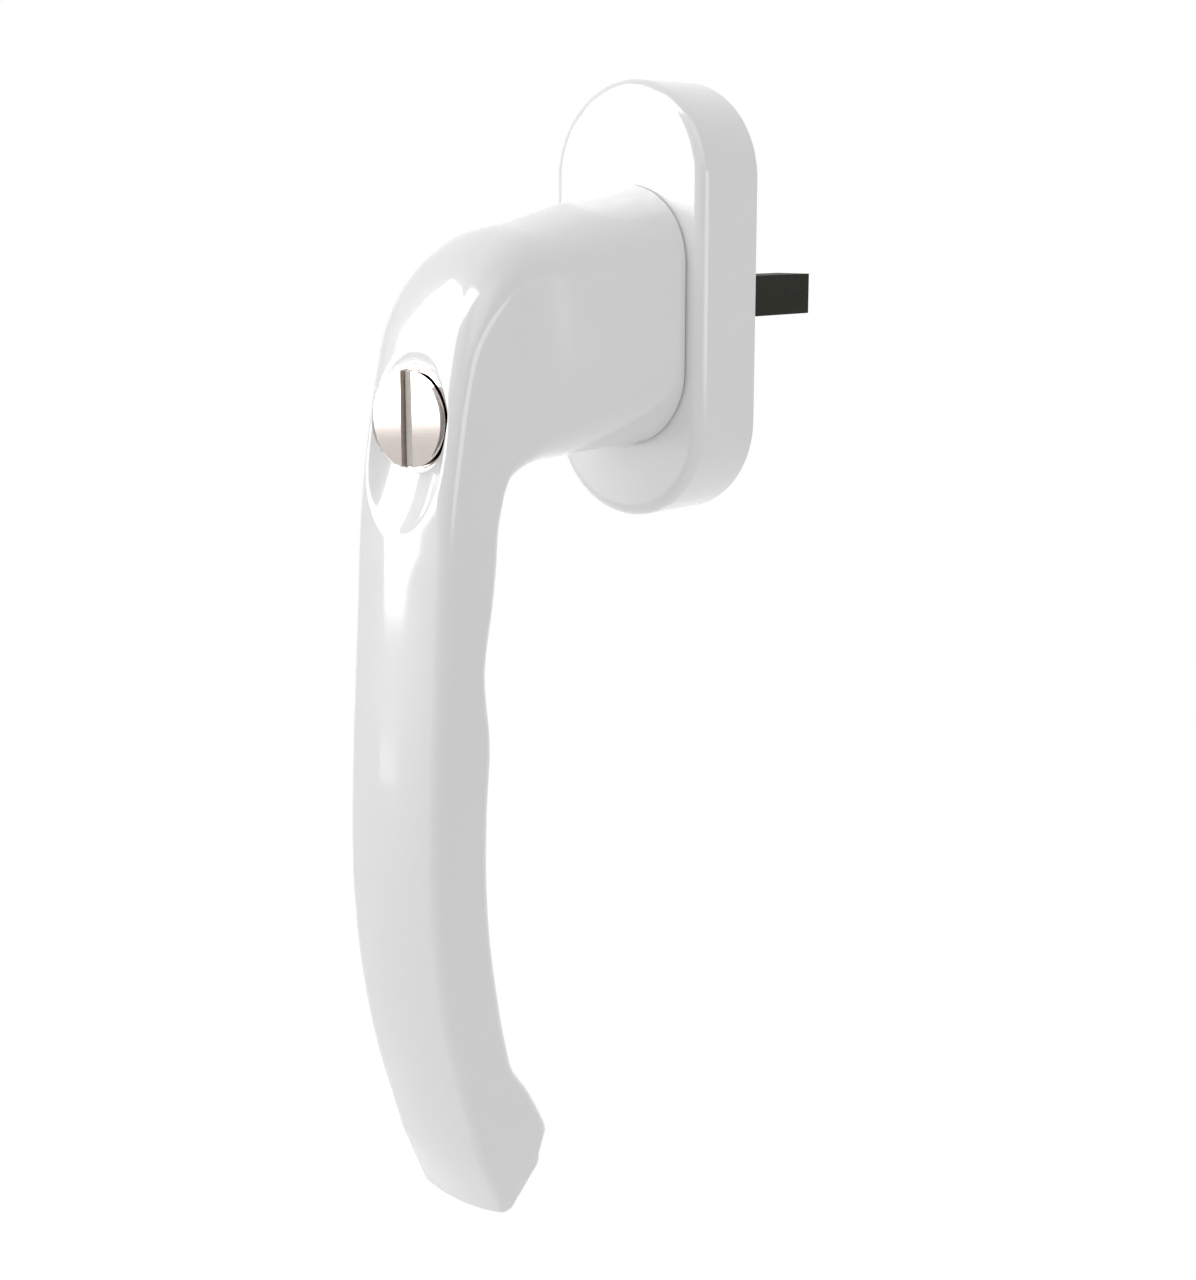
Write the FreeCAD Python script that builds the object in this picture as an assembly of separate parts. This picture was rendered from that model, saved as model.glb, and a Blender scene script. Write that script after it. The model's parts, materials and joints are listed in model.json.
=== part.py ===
import FreeCAD, Part
import math
import os
from FreeCAD import Vector

# Locking window handle. Millimetres, +Z up. The origin is on the spindle's axis at the
# back of the rose, which lies on the window sash. -Y points into the room, +Y into the sash.

# How far a cutter runs past the face that it opens, how far a fused piece runs into its
# neighbour, and how near a depth counts as the same
overcut = 1.0
overlap = 0.5
tiny = 0.01

# Rose
rose_width = 32.0
rose_height = 71.0
rose_depth = 14.2
rose_edge_radius = 1.9
cover_wall = 1.5
cover_clearance = 0.5

# Base plate under the cover
plate_thickness = 4.0
hub_front = 11.3
hub_wall = 1.2
hub_clearance = 0.25
lug_wall = 0.9
screw_spacing = 43.0
screw_hole_diameter = 5.3
screw_head_diameter = 9.6
screw_head_angle = 90.0
boss_diameter = 10.0
boss_length = 8.0
back_plate_thickness = 1.0
back_plate_recess = 0.3
back_plate_spindle_clearance = 0.5
back_plate_inset = 0.5
back_plate_fit = 0.1
clip_length = 14.0
clip_depth = 0.8
clip_height = 1.6
clip_clearance = 0.2

# Bearing of the lever in the base plate
journal_diameter = 14.0
journal_fit = 0.04
bush_wall = 1.2
bush_flange_diameter = 19.0
bush_flange_thickness = 1.2
bush_fit = 0.02
bush_length = 3.0
running_gap = 0.4
journal_tail = 1.0
washer_thickness = 0.6
washer_diameter = 18.0
washer_fit = 0.1
ring_thickness = 1.0
ring_radial_width = 1.9
ring_groove_depth = 0.5
ring_opening = 50.0
ring_fit = 0.05
axial_play = 0.1

# Detent
disc_radius = 6.0
disc_thickness = 2.4
disc_gap = 0.4
notch_depth = 0.9
ball_diameter = 3.5
ball_clearance = 0.3
ball_pocket_clearance = 0.1
cavity_radius = 9.3
detent_spring_wire = 0.5
detent_spring_diameter = 3.3
detent_spring_turns = 2
plate_screw_diameter = 2.5
plate_screw_head = 4.0
plate_screw_length = 4.0
plate_screw_edge = 0.3
screw_fit = 0.05
screw_end_clearance = 0.2
screw_slot_width = 0.6
screw_slot_depth = 0.5

# Spindle
spindle_size = 7.0
spindle_projection = 32.5
spindle_depth = 34.0
spindle_fit = 0.05
spindle_end_gap = 0.3
spindle_chamfer = 0.3
cross_pin_diameter = 2.5
cross_pin_inset = 0.2
pin_fit = 0.02

# Lever
neck_gap = 0.4
neck_top = 19.0
neck_bottom = 23.3
neck_half_width = 13.0
neck_slope = 0.232
neck_fall = 0.02
elbow_start = 49.0
grip_half_width = 10.0
grip_front = 70.0
grip_depth = 13.9
grip_length = 147.0
grip_crown_radius = 40.0
grip_front_radius = 2.3
grip_back_radius = 3.0
finger_notch_depth = 1.9
hook_reach = 42.7
loft_step = 4.5

# Scooped recess round the lock
scoop_lead = 1.6
scoop_center_z = 18.6
scoop_half_width = 10.9
scoop_half_height = 17.2
scoop_depth = 6.9
scoop_tilt = 9.5

# Lock cylinder
lock_drop = 15.5
plug_face_inset = 6.2
plug_face_diameter = 14.5
plug_face_thickness = 2.0
plug_body_diameter = 9.8
plug_fit = 0.05
bezel_recess = 1.3
bezel_diameter = 16.2
bezel_gap = 0.3
housing_head_diameter = 16.0
housing_head_length = 5.0
housing_diameter = 13.6
housing_length = 15.5
housing_fit = 0.03
face_gap = 0.3
key_slot_width = 2.4
key_slot_depth = 1.3
keyway_width = 2.4
keyway_height = 7.6
wafer_count = 5
wafer_thickness = 1.0
wafer_pitch = 2.2
wafer_width = 6.0
wafer_fit = 0.05
wafer_travel = 0.6
wafer_first = 2.0
wafer_groove_clearance = 0.3
wafer_sill = 0.8
wafer_code_step = 0.15
wafer_code_heights = 3
wafer_bridge = 0.4
wafer_ear_width = 0.9
wafer_ear_top = 1.0
wafer_ear_height = 0.6
wafer_ear_clearance = 0.15
wafer_spring_diameter = 0.7
wafer_spring_bore = 0.36
wafer_spring_length = 2.4
tail_size = 4.0
tail_length = 7.6
clip_ring_thickness = 0.8
clip_ring_diameter = 12.0
clip_ring_groove = 0.6
plug_shoulder = 0.6
housing_screw_diameter = 3.0
housing_screw_length = 4.0
housing_screw_bite = 0.8
housing_screw_access = 20.0
housing_screw_slot_width = 0.5
housing_screw_slot_depth = 0.8

# Cam and locking pin
cam_radius = 5.2
cam_disc_thickness = 1.9
cam_gap = 0.3
cam_hub_radius = 3.6
cam_land = 82.0
cam_teeth = 2
cam_steps = 6
cam_screw_diameter = 2.0
cam_screw_head = 6.0
cam_screw_head_height = 1.0
cam_screw_length = 4.0
chamber_clearance = 0.4
pin_offset = 13.2
pin_diameter = 4.0
pin_travel = 6.0
pin_chamfer = 0.5
pin_tip_gap = 0.2
pin_head_length = 2.6
guide_length = 5.0
guide_diameter = 9.0
guide_fit = 0.05
pin_hole_clearance = 0.25
pin_hole_depth = 5.0
key_turn = 90.0
return_spring_wire = 0.7
return_spring_diameter = 6.5
return_spring_turns = 6

# Places worked out from the sizes. Depths are counted from the sash into the room.
cover_front = rose_depth
cover_inside = rose_depth - cover_wall
half_screw_spacing = screw_spacing / 2
plate_half_width = rose_width / 2 - cover_wall - cover_clearance / 2
plate_half_height = rose_height / 2 - cover_wall - cover_clearance / 2
hub_radius = plate_half_width - hub_clearance
pocket_end = hub_radius - hub_wall
journal_radius = journal_diameter / 2
bush_inner_radius = journal_radius + journal_fit
bush_outer_radius = bush_inner_radius + bush_wall
bush_back = hub_front - bush_length
washer_front = bush_back - axial_play
washer_back = washer_front - washer_thickness
ring_front = washer_back - axial_play
ring_back = ring_front - ring_thickness
journal_back = ring_back - journal_tail
disc_front = journal_back - disc_gap
disc_back = disc_front - disc_thickness
disc_middle = (disc_front + disc_back) / 2
ball_radius = ball_diameter / 2
ball_center = disc_radius + ball_radius + ball_clearance
back_plate_front = back_plate_recess + back_plate_thickness
back_plate_radius = hub_radius - back_plate_inset
plate_screw_radius = back_plate_radius - plate_screw_head / 2 - plate_screw_edge
neck_end = rose_depth + neck_gap
cross_pin_depth = (hub_front + bush_back) / 2

scoop_center_y = grip_front - scoop_lead
plug_face_front = grip_front - plug_face_inset
bezel_front = plug_face_front - bezel_recess
housing_front = plug_face_front - plug_face_thickness - face_gap
housing_step = housing_front - housing_head_length
housing_back = housing_front - housing_length
plug_radius = plug_body_diameter / 2
clip_ring_front = housing_back - axial_play
clip_ring_back = clip_ring_front - clip_ring_thickness
plug_back = clip_ring_back - plug_shoulder
tail_back = plug_back - tail_length
pin_tip = neck_end + pin_tip_gap
cam_front = plug_back - screw_fit
cam_ramp_foot = cam_front - cam_disc_thickness
follower_tip = cam_ramp_foot - cam_gap
follower_root = follower_tip - pin_travel
follower_bore = cam_hub_radius + cam_gap
head_back = follower_root - pin_head_length
guide_front = pin_tip + guide_length


def tube_y(radius, front, back, x=0.0, z=0.0):
    """A round bar along Y between two depths."""
    return Part.makeCylinder(radius, front - back, Vector(x, -front, z), Vector(0, 1, 0))


def box_y(half_x, low_z, high_z, front, back, x=0.0):
    return Part.makeBox(2 * half_x, front - back, high_z - low_z, Vector(x - half_x, -front, low_z))


def square_y(size, front, back, z=0.0):
    return box_y(size / 2, z - size / 2, z + size / 2, front, back)


def cone_y(front_radius, back_radius, front, back, x=0.0, z=0.0):
    return Part.makeCone(front_radius, back_radius, front - back, Vector(x, -front, z), Vector(0, 1, 0))


def stadium_y(half_width, half_height, front, back):
    """A bar along Y with straight sides and full-round ends."""
    rise = half_height - half_width
    low = Vector(-half_width, -front, -rise)
    high = Vector(-half_width, -front, rise)
    edges = [
        Part.LineSegment(low, high),
        Part.Arc(high, Vector(0, -front, half_height), Vector(half_width, -front, rise)),
        Part.LineSegment(Vector(half_width, -front, rise), Vector(half_width, -front, -rise)),
        Part.Arc(Vector(half_width, -front, -rise), Vector(0, -front, -half_height), low),
    ]
    wire = Part.Wire([edge.toShape() for edge in edges])
    return Part.Face(wire).extrude(Vector(0, front - back, 0))


def rose_cover():
    shell = stadium_y(rose_width / 2, rose_height / 2, cover_front, 0)
    rim = [edge for edge in shell.Edges if edge.BoundBox.YMax < -cover_front + tiny]
    shell = shell.makeFillet(rose_edge_radius, rim)
    inner_width = rose_width / 2 - cover_wall
    inner_height = rose_height / 2 - cover_wall
    shell = shell.cut(stadium_y(inner_width, inner_height, cover_inside, -overcut))
    band = stadium_y(inner_width + overlap, inner_height + overlap, back_plate_recess + clip_height,
                     back_plate_recess)
    band = band.cut(stadium_y(inner_width - clip_depth, inner_height - clip_depth,
                              plate_thickness, -overcut))
    band = band.common(box_y(clip_length / 2, -rose_height, rose_height, plate_thickness, -overcut))
    shell = shell.fuse(band)
    shell = shell.cut(tube_y(journal_radius + running_gap, cover_front + overcut, 0))
    for side in (-1, 1):
        shell = shell.cut(pin_hole(side, cover_front + overcut))
    return shell


def pin_hole(side, front):
    """The hole that the locking pin enters, at the closed stop or at the open one."""
    radius = pin_diameter / 2 + pin_hole_clearance
    return tube_y(radius, front, hub_front - pin_hole_depth, z=side * pin_offset)


def base_plate():
    """The zinc plate under the cover, with its hub, its lugs and its two screw bosses."""
    body = stadium_y(plate_half_width, plate_half_height, plate_thickness, 0)
    body = body.fuse(tube_y(hub_radius, hub_front, plate_thickness / 2))
    lug_radius = pin_diameter / 2 + pin_hole_clearance + lug_wall
    pocket_half = ball_radius + ball_pocket_clearance
    pocket_start = cavity_radius - overcut
    for side in (-1, 1):
        boss_z = side * half_screw_spacing
        body = body.fuse(tube_y(lug_radius, hub_front, plate_thickness / 2, z=side * pin_offset))
        body = body.fuse(tube_y(boss_diameter / 2, plate_thickness / 2, -boss_length, z=boss_z))
    for side in (-1, 1):
        body = body.cut(fixing_hole(side * half_screw_spacing))
        body = body.cut(pin_hole(side, hub_front + overcut))
        thread_end = back_plate_recess + plate_screw_length + screw_end_clearance
        body = body.cut(tube_y(plate_screw_diameter / 2, thread_end, 0, z=side * plate_screw_radius))
        body = body.cut(box_y((pocket_end - pocket_start) / 2, -pocket_half, pocket_half,
                              disc_middle + pocket_half, 0, x=side * (pocket_end + pocket_start) / 2))
    body = body.cut(tube_y(cavity_radius, bush_back, -overcut))
    body = body.cut(tube_y(bush_outer_radius + bush_fit, hub_front + overcut, bush_back - overcut))
    body = body.cut(tube_y(back_plate_radius + back_plate_fit, back_plate_front, -overcut))
    return body.cut(clip_notch())


def fixing_hole(z):
    """A countersunk hole through the plate and its boss."""
    hole = tube_y(screw_hole_diameter / 2, plate_thickness + overcut, -boss_length - overcut, z=z)
    sink = (screw_head_diameter - screw_hole_diameter) / 2 / math.tan(math.radians(screw_head_angle / 2))
    return hole.fuse(cone_y(screw_head_diameter / 2, screw_hole_diameter / 2,
                            plate_thickness, plate_thickness - sink, z=z))


def clip_notch():
    """The rebates at the plate's two ends that the cover's clips snap into."""
    outside = plate_half_width + overcut
    inset = rose_width / 2 - cover_wall - clip_depth - clip_clearance
    height = (rose_height - rose_width) / 2
    top = back_plate_recess + clip_height + clip_clearance
    notch = stadium_y(outside, outside + height, top, -overcut)
    notch = notch.cut(stadium_y(inset, inset + height, plate_thickness, -2 * overcut))
    reach = clip_length / 2 + 2 * clip_clearance
    return notch.common(box_y(reach, -rose_height, rose_height, plate_thickness, -2 * overcut))


def bearing_bush():
    bush = tube_y(bush_outer_radius, hub_front + bush_flange_thickness, bush_back)
    bush = bush.fuse(tube_y(bush_flange_diameter / 2, hub_front + bush_flange_thickness, hub_front))
    return bush.cut(tube_y(bush_inner_radius, hub_front + bush_flange_thickness + overcut, 0))


def ring_y(outer, inner, front, back, z=0.0):
    return tube_y(outer, front, back, z=z).cut(tube_y(inner, front + overcut, back - overcut, z=z))


def open_ring(outer, inner, front, back, opening, z=0.0):
    """A circlip: a flat ring with a gap at the top."""
    ring = ring_y(outer, inner, front, back, z)
    reach = 2 * outer
    half = reach * math.tan(math.radians(opening / 2))
    tip = Vector(0, -front - overcut, z)
    left = Vector(-half, -front - overcut, z + reach)
    right = Vector(half, -front - overcut, z + reach)
    wedge = Part.Face(Part.makePolygon([tip, left, right, tip]))
    wedge = wedge.extrude(Vector(0, front - back + 2 * overcut, 0))
    return ring.cut(wedge)


def retaining_ring():
    inner = journal_radius - ring_groove_depth
    return open_ring(inner + ring_radial_width, inner, ring_front, ring_back, ring_opening)


def thrust_washer():
    return ring_y(washer_diameter / 2, journal_radius + washer_fit, washer_front, washer_back)


def detent_disc():
    disc = tube_y(disc_radius, disc_front, disc_back)
    reach = disc_radius + ball_radius - notch_depth
    for x, z in ((reach, 0), (0, reach), (-reach, 0), (0, -reach)):
        disc = disc.cut(tube_y(ball_radius, disc_front + overcut, disc_back - overcut, x=x, z=z))
    return disc.cut(square_y(spindle_size + 2 * spindle_fit, disc_front + overcut, disc_back - overcut))


def detent_balls():
    return Part.makeCompound([Part.makeSphere(ball_radius, Vector(side * ball_center, -disc_middle, 0))
                              for side in (-1, 1)])


def coil(radius, wire, turns, length):
    """A coil spring along Z from the origin, cut flat at both ends."""
    pitch = (length - wire) / turns
    helix = Part.makeHelix(pitch, length - wire, radius)
    section = Part.Wire(Part.makeCircle(wire / 2, Vector(radius, 0, 0), Vector(0, 1, 0)))
    spring = Part.Wire(helix).makePipeShell([section], True, True)
    spring.translate(Vector(0, 0, wire / 2))
    return spring


def detent_springs():
    length = pocket_end - ball_center - ball_radius
    radius = (detent_spring_diameter - detent_spring_wire) / 2
    springs = []
    for side in (-1, 1):
        spring = coil(radius, detent_spring_wire, detent_spring_turns, length)
        spring.rotate(Vector(0, 0, 0), Vector(0, 1, 0), side * 90)
        spring.translate(Vector(side * (ball_center + ball_radius), -disc_middle, 0))
        springs.append(spring)
    return Part.makeCompound(springs)


def back_plate():
    plate = tube_y(back_plate_radius, back_plate_front, back_plate_recess)
    opening = spindle_size / 2 * math.sqrt(2) + back_plate_spindle_clearance
    plate = plate.cut(tube_y(opening, back_plate_front + overcut, -overcut))
    hole = plate_screw_diameter / 2 + screw_fit
    for side in (-1, 1):
        plate = plate.cut(screw_cone(side, screw_fit))
        plate = plate.cut(tube_y(hole, back_plate_front + overcut, -overcut, z=side * plate_screw_radius))
    return plate


def screw_cone(side, clearance):
    return cone_y(plate_screw_diameter / 2 + clearance, plate_screw_head / 2 + clearance,
                  back_plate_front, back_plate_recess, z=side * plate_screw_radius)


def plate_screws():
    screws = []
    for side in (-1, 1):
        screw = screw_cone(side, 0)
        screw = screw.fuse(tube_y(plate_screw_diameter / 2, back_plate_recess + plate_screw_length,
                                  back_plate_recess, z=side * plate_screw_radius))
        slot = box_y(screw_slot_width / 2, -rose_height, rose_height,
                     back_plate_recess + screw_slot_depth, 0)
        screws.append(screw.cut(slot))
    return Part.makeCompound(screws)


def spindle():
    bar = square_y(spindle_size, spindle_depth, -spindle_projection)
    ends = [edge for edge in bar.Edges if edge.BoundBox.YLength < tiny]
    bar = bar.makeChamfer(spindle_chamfer, ends)
    return bar.cut(cross_hole())


def cross_hole():
    radius = cross_pin_diameter / 2 + pin_fit
    reach = journal_radius + overcut
    return Part.makeCylinder(radius, 2 * reach, Vector(-reach, -cross_pin_depth, 0), Vector(1, 0, 0))


def spindle_pin():
    reach = journal_radius - cross_pin_inset
    start = Vector(-reach, -cross_pin_depth, 0)
    return Part.makeCylinder(cross_pin_diameter / 2, 2 * reach, start, Vector(1, 0, 0))


def lever_section(front, back, half_width, front_radius, back_radius, front_crown, back_crown):
    """A closed outline across the lever between two points of its side view.

    Each face is a shallow arc, the crown, which runs into the flat sides through a corner arc.
    """
    foot = Vector(0, -back[0], back[1])
    rise = Vector(0, -front[0], front[1]) - foot
    depth = rise.Length
    up = rise / depth

    def point(x, v):
        return foot + up * v + Vector(x, 0, 0)

    def corner(radius, crown):
        """The corner arc's centre, its meeting point with the crown and its middle."""
        cx = half_width - radius
        cv = depth - crown + math.copysign(math.sqrt((crown - radius) ** 2 - cx ** 2), crown - radius)
        sign = math.copysign(1, crown - radius)
        length = math.hypot(cx, cv - depth + crown)
        nx = sign * cx / length
        nv = sign * (cv - depth + crown) / length
        meet = (crown * nx, depth - crown + crown * nv)
        angle = math.atan2(meet[1] - cv, meet[0] - cx) / 2
        middle = (cx + radius * math.cos(angle), cv + radius * math.sin(angle))
        return cv, meet, middle

    front_v, front_meet, front_middle = corner(front_radius, front_crown)
    back_v, back_meet, back_middle = corner(back_radius, back_crown)
    outline = []

    def arc(a, b, c):
        outline.append(Part.Arc(point(*a), point(*b), point(*c)).toShape())

    def flip(p):
        return (p[0], depth - p[1])

    def mirror(p):
        return (-p[0], p[1])

    side_top = (half_width, front_v)
    side_foot = (half_width, depth - back_v)
    arc(mirror(front_meet), (0, depth), front_meet)
    arc(front_meet, front_middle, side_top)
    outline.append(Part.LineSegment(point(*side_top), point(*side_foot)).toShape())
    arc(side_foot, flip(back_middle), flip(back_meet))
    arc(flip(back_meet), (0, 0), mirror(flip(back_meet)))
    arc(mirror(flip(back_meet)), mirror(flip(back_middle)), mirror(side_foot))
    outline.append(Part.LineSegment(point(*mirror(side_foot)), point(*mirror(side_top))).toShape())
    arc(mirror(side_top), mirror(front_middle), mirror(front_meet))
    return Part.Wire(outline)


def lever_stations():
    """Side-view points as (depth, height), with the width and radii of each section."""
    top = neck_top
    low = -neck_bottom
    wide = neck_half_width
    grip = grip_half_width
    front = grip_front
    back = grip_front - grip_depth
    end = -grip_length

    def neck(depth, lean, half_width, inset, bulge, under_inset, under_bulge):
        """A section of the neck, whose corners and crowns follow from its width."""
        run = depth - neck_end
        radius = half_width - inset
        under_radius = half_width - under_inset
        return ((depth, top - neck_slope * run), (depth - lean * run, low - neck_fall * run),
                half_width, radius, under_radius, radius + bulge, under_radius + under_bulge)

    def held(f, b, half_width=grip, front_radius=grip_front_radius, back_radius=grip_back_radius,
             crown=grip_crown_radius, back_crown=2 * grip_crown_radius):
        return (f, b, half_width, front_radius, back_radius, crown, back_crown)

    return [
        neck(neck_end, 0.0, wide, 0.6, 1.2, 0.4, 1.0),
        neck(27.0, 0.08, wide - 0.8, 1.6, 3.9, 1.7, 4.0),
        neck(39.0, 0.16, wide - 1.7, 2.5, 8.2, 3.7, 9.9),
        neck(elbow_start, 0.168, wide - 2.5, 3.3, 13.8, 5.7, 19.2),
        held((front - 15.7, 7.6), (back - 9.7, -24.0), grip + 0.4, 6.4, 3.4, 24.0, 40.0),
        held((front - 9.7, -1.0), (back - 5.5, -26.0), grip + 0.1, 4.8, 3.1, 40.0, 50.0),
        held((front - 7.8, -7.5), (back - 4.4, -27.9), front_radius=4.0, back_crown=55.0),
        held((front - 6.0, -15.5), (back - 3.8, -30.2), front_radius=3.3, back_crown=60.0),
        held((front - 4.2, -25.0), (back - 3.3, -33.2), front_radius=2.8, back_crown=65.0),
        held((front - 3.2, -34.5), (back - 2.9, -38.4), back_crown=70.0),
        held((front - 2.7, -42.5), (back - 2.1, -43.6), back_crown=75.0),
        held((front - 1.7, -54.5), (back - finger_notch_depth + 1.7, -54.2)),
        held((front - 0.9, -65.5), (back - 1.1, -65.5)),
        held((front - 0.3, -76.0), (back - 0.3, -76.0)),
        held((front - 0.1, end + 60.0), (back, end + 60.0)),
        held((front - 0.7, end + 50.0), (back - 0.6, end + 50.0)),
        held((front - 2.1, end + 40.0), (back - 2.1, end + 40.0)),
        held((front - 3.8, end + 32.0), (back - 3.7, end + 32.0)),
        held((front - 5.3, end + 26.5), (hook_reach + 8.0, end + 26.4)),
        held((front - 6.9, end + 21.5), (hook_reach + 5.0, end + 22.3)),
        held((front - 8.4, end + 16.8), (hook_reach + 2.1, end + 17.5)),
        held((front - 10.0, end + 12.2), (hook_reach + 0.4, end + 13.8)),
        held((front - 12.0, end + 8.6), (hook_reach + 0.3, end + 12.0)),
        held((front - 15.5, end + 0.9), (hook_reach + 1.6, end + 10.0)),
    ]


def smooth_stations(stations, step):
    """More stations, about a step apart, on smooth curves through the given ones."""
    rows = [[*front, *back, *rest] for front, back, *rest in stations]
    runs = [(math.hypot(b[0] - a[0], b[1] - a[1]) + math.hypot(b[2] - a[2], b[3] - a[3])) / 2
            for a, b in zip(rows, rows[1:])]
    slopes = [[(v - u) / run for u, v in zip(a, b)] for a, b, run in zip(rows, rows[1:], runs)]
    tangents = [slopes[0]]
    for before, after, run, next_run in zip(slopes, slopes[1:], runs, runs[1:]):
        tangents.append([(u * next_run + v * run) / (run + next_run) for u, v in zip(before, after)])
    tangents.append(slopes[-1])
    dense = []
    for i, run in enumerate(runs):
        count = max(1, round(run / step))
        for k in range(count):
            t = k / count
            start, end = 2 * t**3 - 3 * t**2 + 1, 3 * t**2 - 2 * t**3
            leave, reach = run * (t**3 - 2 * t**2 + t), run * (t**3 - t**2)
            dense.append([start * a + end * b + leave * u + reach * v
                          for a, b, u, v in zip(rows[i], rows[i + 1], tangents[i], tangents[i + 1])])
    dense.append(rows[-1])
    return [((row[0], row[1]), (row[2], row[3]), *row[4:]) for row in dense]


def lever_body():
    stations = smooth_stations(lever_stations(), loft_step)
    return Part.makeLoft([lever_section(*station) for station in stations], True, True)


def scoop():
    """An egg-shaped cutter, leaned back with the lever's front."""
    ball = Part.makeSphere(1.0)
    stretch = FreeCAD.Matrix()
    stretch.scale(scoop_half_width, scoop_depth, scoop_half_height)
    egg = ball.transformGeometry(stretch)
    egg.rotate(Vector(0, 0, 0), Vector(1, 0, 0), -scoop_tilt)
    egg.translate(Vector(0, -scoop_center_y, -scoop_center_z))
    return egg


def lever_handle():
    body = lever_body()
    body = body.cut(scoop())
    journal = tube_y(journal_radius, neck_end + overlap, journal_back)
    groove = ring_y(journal_radius + overcut, journal_radius - ring_groove_depth,
                    ring_front + ring_fit, ring_back - ring_fit)
    body = body.fuse(journal.cut(groove))
    body = body.cut(square_y(spindle_size + 2 * spindle_fit, spindle_depth + spindle_end_gap, 0))
    body = body.cut(cross_hole())
    z = -lock_drop
    head_radius = housing_head_diameter / 2
    body = body.cut(tube_y(bezel_diameter / 2 + housing_fit, 2 * grip_front, housing_front, z=z))
    body = body.cut(tube_y(head_radius + housing_fit, housing_front + overcut, housing_step, z=z))
    body = body.cut(tube_y(housing_diameter / 2 + housing_fit, housing_step + overcut, housing_back, z=z))
    body = body.cut(tube_y(clip_ring_diameter / 2 + cam_gap, housing_back + overcut, plug_back, z=z))
    chamber = tube_y(cam_radius + chamber_clearance, housing_back, head_back - pin_travel - cam_gap, z=z)
    channel = tube_y(guide_diameter / 2, follower_root, neck_end - overcut, z=-pin_offset)
    body = body.cut(chamber.fuse(channel))
    return body.cut(housing_screw_hole())


def housing_screw_hole():
    return housing_screw_bar(housing_screw_diameter / 2 + pin_fit, housing_screw_access)


def housing_screw_bar(radius, length):
    """A round bar down from inside the housing's wall, on the screw's axis."""
    depth = (housing_step + housing_back) / 2
    start = Vector(0, -depth, -lock_drop - housing_diameter / 2 + housing_screw_bite)
    return Part.makeCylinder(radius, length, start, Vector(0, 0, -1))


def housing_screw():
    screw = housing_screw_bar(housing_screw_diameter / 2, housing_screw_length)
    end = screw.BoundBox
    width = housing_screw_slot_width
    slot = Part.makeBox(2 * end.XMax, width, housing_screw_slot_depth + overcut,
                        Vector(-end.XMax, end.Center.y - width / 2, end.ZMin - overcut))
    return screw.cut(slot)


def lock_housing():
    z = -lock_drop
    barrel = tube_y(housing_head_diameter / 2, housing_front, housing_step, z=z)
    barrel = barrel.fuse(tube_y(housing_diameter / 2, housing_step, housing_back, z=z))
    bore = tube_y(plug_radius + plug_fit, housing_front + overcut, housing_back - overcut, z=z)
    barrel = barrel.cut(bore)
    reach = plug_radius + wafer_travel + wafer_groove_clearance
    half = wafer_width / 2 + wafer_groove_clearance
    front = wafer_depth(0) + wafer_thickness
    back = wafer_depth(wafer_count - 1) - wafer_thickness
    broach = box_y(half, z - reach, z + reach, front, back)
    broach = broach.fuse(box_y(reach, z - half, z + half, front, back))
    return barrel.cut(broach).cut(housing_screw_hole())


def wafer_depth(index):
    """Depth of a wafer's middle plane."""
    return housing_front - wafer_first - index * wafer_pitch


def lock_bezel():
    inner = plug_face_diameter / 2 + bezel_gap
    return ring_y(bezel_diameter / 2, inner, bezel_front, housing_front, z=-lock_drop)


def lock_plug():
    z = -lock_drop
    plug = tube_y(plug_face_diameter / 2, plug_face_front, plug_face_front - plug_face_thickness, z=z)
    plug = plug.fuse(tube_y(plug_radius, plug_face_front - plug_face_thickness, plug_back, z=z))
    groove = ring_y(plug_radius + overcut, plug_radius - clip_ring_groove,
                    clip_ring_front + ring_fit, clip_ring_back - ring_fit, z=z)
    plug = plug.cut(groove)
    plug = plug.fuse(square_y(tail_size, plug_back, tail_back, z=z))
    thread = tube_y(cam_screw_diameter / 2, tail_back + cam_screw_length, tail_back - overcut, z=z)
    plug = plug.cut(thread)
    slot = box_y(key_slot_width / 2, z - plug_face_diameter, z + plug_face_diameter,
                 plug_face_front + overcut, plug_face_front - key_slot_depth)
    plug = plug.cut(slot)
    keyway = box_y(keyway_width / 2, z - keyway_height / 2, z + keyway_height / 2,
                   plug_face_front + overcut, wafer_depth(wafer_count - 1) - wafer_thickness)
    plug = plug.cut(keyway)
    for index in range(wafer_count):
        plug = plug.cut(wafer_slot(index))
    return plug


def wafer_slot(index):
    """The plug's slot for one wafer, with the room beside it for the ear and the spring."""
    half = wafer_thickness / 2 + wafer_fit
    depth = wafer_depth(index)
    z = -lock_drop
    slot = box_y(wafer_width / 2 + wafer_fit, z - plug_radius - overcut, z + plug_radius + overcut,
                 depth + half, depth - half)
    ear_low = z - wafer_ear_top - wafer_ear_height - wafer_travel - wafer_ear_clearance
    ear_high = z - wafer_ear_top + wafer_spring_length
    room = (wafer_ear_width + wafer_ear_clearance) / 2
    return slot.fuse(box_y(room, ear_low, ear_high, depth + half, depth - half, x=wafer_width / 2 + room))


def wafer(index):
    """One wafer. The sill of its window, which the key lifts, has its own height."""
    half = wafer_thickness / 2
    depth = wafer_depth(index)
    z = -lock_drop
    plate = box_y(wafer_width / 2, z - plug_radius, z + plug_radius, depth + half, depth - half)
    plate = plate.common(tube_y(plug_radius, depth + overcut, depth - overcut, z=z))
    sill = wafer_sill + wafer_code_step * (index % wafer_code_heights)
    window = box_y(keyway_width / 2, z - keyway_height / 2 + sill, z + keyway_height / 2 - wafer_bridge,
                   depth + overcut, depth - overcut)
    ear = box_y(wafer_ear_width / 2, z - wafer_ear_top - wafer_ear_height, z - wafer_ear_top,
                depth + half, depth - half, x=(wafer_width + wafer_ear_width) / 2)
    return plate.cut(window).fuse(ear).removeSplitter()


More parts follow.
